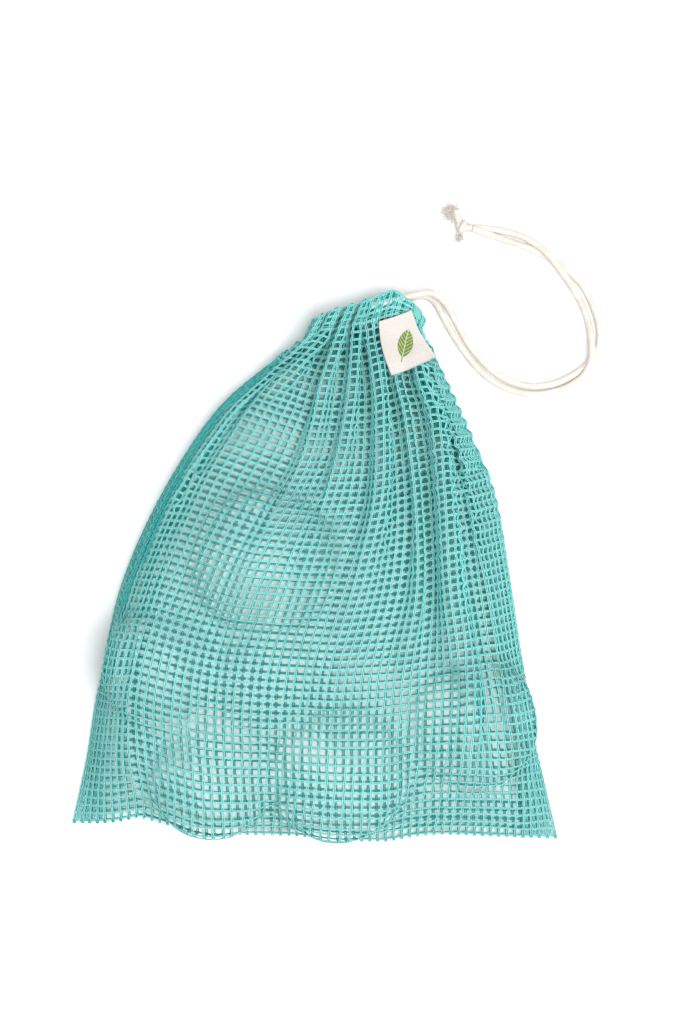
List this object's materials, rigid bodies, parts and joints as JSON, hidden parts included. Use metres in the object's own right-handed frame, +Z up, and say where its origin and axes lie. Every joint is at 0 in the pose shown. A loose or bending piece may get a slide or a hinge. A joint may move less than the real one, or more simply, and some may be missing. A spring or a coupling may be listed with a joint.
{
  "type": "mesh produce bag",
  "caption": "Cotton mesh produce bag with a drawstring casing, a knotted cord and a sewn-in label, lying filled out with its mouth drawn up.",
  "frame": {"origin": "on the surface the bag lies on, under the middle of the bag without its free cord", "axes": "+Y from the bottom fold towards the mouth, +X to the bag's right, +Z up from the surface"},
  "size_m": [0.2749, 0.3293, 0.0712],
  "materials": {
    "net": "open cotton net, dyed teal",
    "thread": "teal sewing thread",
    "cord": "soft undyed cotton cord",
    "label": "cream cotton tape with a small print"
  },
  "bodies": {
    "bag": {"net_front": "net", "net_back": "net", "seam_cloth_left": "net", "seam_cloth_right": "net", "seam_thread_left": "thread", "seam_thread_right": "thread", "casing_front": "net", "casing_back": "net", "casing_thread": "thread", "drawstring_in_casing": "cord"},
    "label": {"label": "label"},
    "drawstring": {"drawstring_strand_a": "cord", "drawstring_strand_b": "cord", "drawstring_knot": "cord", "drawstring_tail": "cord", "frayed_end_long": "cord", "frayed_end_short": "cord"}
  },
  "joints": [
    {"name": "drawstring_pull", "type": "slide", "parent": "bag", "child": "drawstring", "axis": [0.9703, 0.2419, 0], "range_m": [0, 0.012]},
    {"name": "label_flap", "type": "hinge", "parent": "bag", "child": "label", "pos_m": [0.0417, 0.1298, 0.01905], "axis": [-0.9464, -0.3229, 0], "range_deg": [0, 150]}
  ]
}
